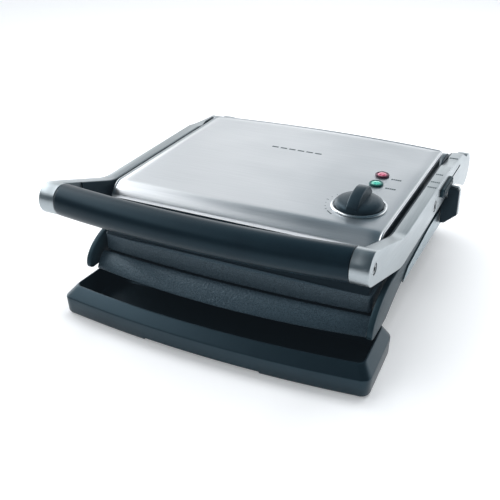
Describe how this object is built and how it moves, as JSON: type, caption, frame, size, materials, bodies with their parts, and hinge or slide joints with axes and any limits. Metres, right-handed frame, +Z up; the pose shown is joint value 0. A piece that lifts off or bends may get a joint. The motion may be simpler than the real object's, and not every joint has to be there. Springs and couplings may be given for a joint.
{
  "type": "panini press",
  "caption": "Contact grill with a floating brushed-steel lid on two cast arms, a bowed black handle, thermostat dial, height clip and pull-out drip tray.",
  "frame": {"origin": "middle of the whole footprint's box, on the surface the feet stand on; the press's own symmetry plane is 5.85 mm to the left of it, because only the right side has the height stop", "axes": "+X to the user's right, +Y from the handle to the hinge at the back, +Z up"},
  "size_m": [0.3904, 0.455, 0.1712],
  "materials": {
    "brushed_lid": "brushed stainless sheet, fine straight grain from side to side",
    "brushed_trim": "satin stainless trim",
    "cast_arm": "die-cast arms in satin silver with a soft brushed grain",
    "grip": "satin black moulded grip",
    "dial": "satin black moulded knob",
    "black_moulding": "fine-textured black moulding",
    "grey_moulding": "blue-grey satin moulding",
    "tray_moulding": "satin black moulding with a lighter sheen on the bevel",
    "non_stick": "cast plate with a hammered, dark non-stick coat",
    "rubber": "matt black rubber",
    "dark_steel": "dull plated steel",
    "reflector": "bright thin sheet",
    "ceramic": "off-white heat-proof moulding",
    "red_lens": "red translucent lens",
    "green_lens": "green translucent lens"
  },
  "bodies": {
    "base": {"base_pan": "black_moulding", "side_rail_left": "dark_steel", "side_rail_right": "dark_steel", "cross_rail_front": "dark_steel", "cross_rail_rear": "dark_steel", "side_panel_left": "grey_moulding", "side_panel_right": "grey_moulding", "side_strip_left": "brushed_trim", "side_strip_right": "brushed_trim", "rear_panel": "black_moulding", "rear_cover": "black_moulding", "cord_gland": "rubber", "terminal_block": "ceramic", "lower_plate": "non_stick", "lower_heating_element": "dark_steel", "lower_reflector": "reflector", "hinge_bracket_left": "cast_arm", "hinge_bracket_right": "cast_arm", "hinge_pin_left": "dark_steel", "hinge_pin_right": "dark_steel", "hinge_washer_left": "dark_steel", "hinge_washer_right": "dark_steel", "stop_pillar": "black_moulding", "stop_pillar_cover": "brushed_trim", "foot_front_left": "rubber", "foot_front_right": "rubber", "foot_rear_left": "rubber", "foot_rear_right": "rubber"},
    "arms": {"arm_left": "cast_arm", "arm_right": "cast_arm", "arm_liner_left": "black_moulding", "arm_liner_right": "black_moulding", "handle_grip": "grip", "handle_core": "dark_steel", "handle_screw_left": "dark_steel", "handle_screw_right": "dark_steel", "lid_pivot_bolt_left": "dark_steel", "lid_pivot_bolt_right": "dark_steel", "pivot_spacer_left": "black_moulding", "pivot_spacer_right": "black_moulding"},
    "height_clip": {"height_clip": "black_moulding"},
    "lid": {"lid_cover": "brushed_lid", "lid_skirt": "black_moulding", "upper_plate": "non_stick", "upper_heating_element": "dark_steel", "upper_reflector": "reflector", "pivot_bracket_left": "dark_steel", "pivot_bracket_right": "dark_steel", "thermostat_body": "ceramic", "dial_ring": "brushed_trim", "power_bezel": "dark_steel", "power_lens": "red_lens", "power_lamp": "ceramic", "ready_bezel": "dark_steel", "ready_lens": "green_lens", "ready_lamp": "ceramic"},
    "dial": {"dial_knob": "dial", "thermostat_shaft": "dark_steel"},
    "drip_tray": {"drip_tray": "tray_moulding"}
  },
  "joints": [
    {"name": "arm_hinge", "type": "hinge", "parent": "base", "child": "arms", "pos_m": [-0.00585, 0.20555, 0.095], "axis": [-1, 0, 0], "range_deg": [0, 100]},
    {"name": "lid_pivot", "type": "hinge", "parent": "arms", "child": "lid", "pos_m": [-0.00585, 0.03055, 0.1156], "axis": [-1, 0, 0], "range_deg": [-0.5, 2]},
    {"name": "clip_slide", "type": "slide", "parent": "arms", "child": "height_clip", "axis": [0, 1, 0], "range_m": [0, 0.057]},
    {"name": "dial_turn", "type": "hinge", "parent": "lid", "child": "dial", "pos_m": [0.11505, -0.05345, 0.14], "axis": [0, 0, -1], "range_deg": [0, 270]},
    {"name": "tray_slide", "type": "slide", "parent": "base", "child": "drip_tray", "axis": [0, -1, 0], "range_m": [0, 0.13]}
  ]
}
